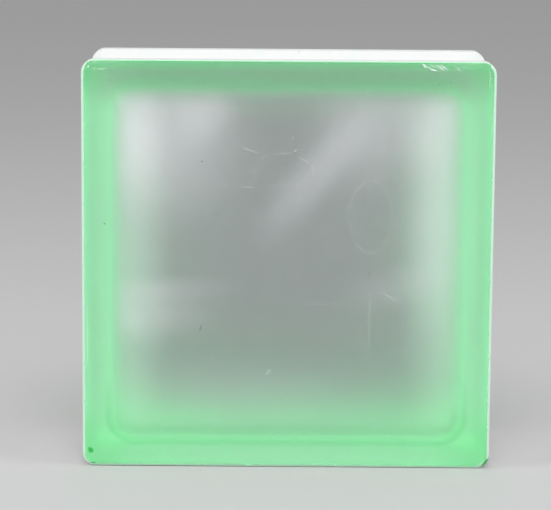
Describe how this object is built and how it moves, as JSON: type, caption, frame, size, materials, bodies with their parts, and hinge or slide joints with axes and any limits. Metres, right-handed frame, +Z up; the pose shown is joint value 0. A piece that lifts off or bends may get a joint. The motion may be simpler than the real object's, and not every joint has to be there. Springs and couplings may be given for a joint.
{
  "type": "glass block",
  "caption": "Square hollow glass building block with satin faces, rounded rims, green coated sides, and a mortar groove with a fused seam running round its edges.",
  "frame": {"origin": "middle of the underside, on the plane the block stands on", "axes": "+X across the face, +Y from the front face to the rear face, +Z up"},
  "size_m": [0.19, 0.08, 0.19],
  "materials": {
    "glass": "satin outer faces on clear glass, with a green coat on the side walls seen through them"
  },
  "bodies": {
    "root": {"glass_block": "glass"}
  },
  "joints": []
}
